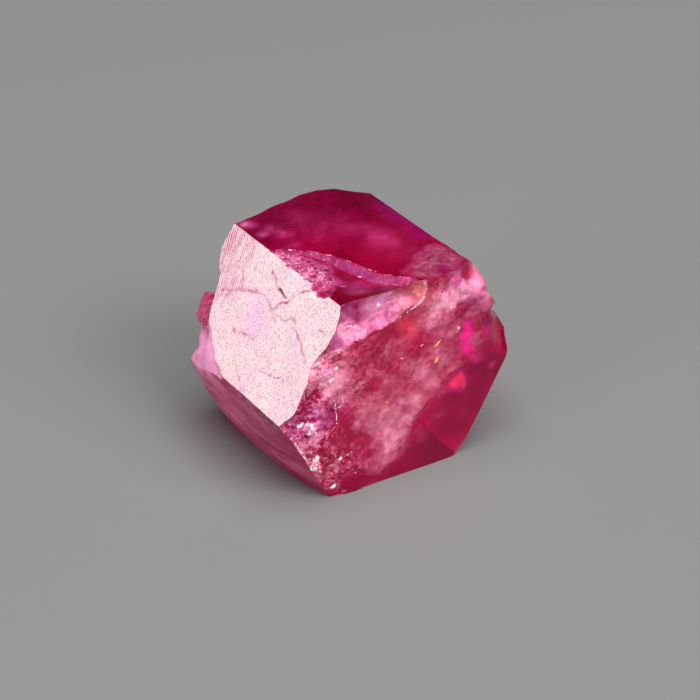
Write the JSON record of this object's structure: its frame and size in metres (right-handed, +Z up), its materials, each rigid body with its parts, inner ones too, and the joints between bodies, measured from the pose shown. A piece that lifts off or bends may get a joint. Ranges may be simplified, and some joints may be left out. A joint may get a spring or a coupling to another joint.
{
  "type": "red beryl crystal",
  "caption": "Loose raspberry-red beryl crystal: a short, see-through hexagonal prism lying on a side face, with a frosted broken end and shell-shaped chips.",
  "frame": {"origin": "middle of the crystal's box, on the surface that it lies on", "axes": "+Z up out of the top prism face; +Y along the c axis, from the frosted break to the far end; +X across the prism, away from the bright upper left face"},
  "size_m": [0.0058, 0.005, 0.0046],
  "materials": {
    "red_beryl": "clear crimson to magenta crystal, glassy on the prism faces, frosted pale pink on the broken end"
  },
  "bodies": {
    "root": {"beryl_crystal": "red_beryl"}
  },
  "joints": []
}
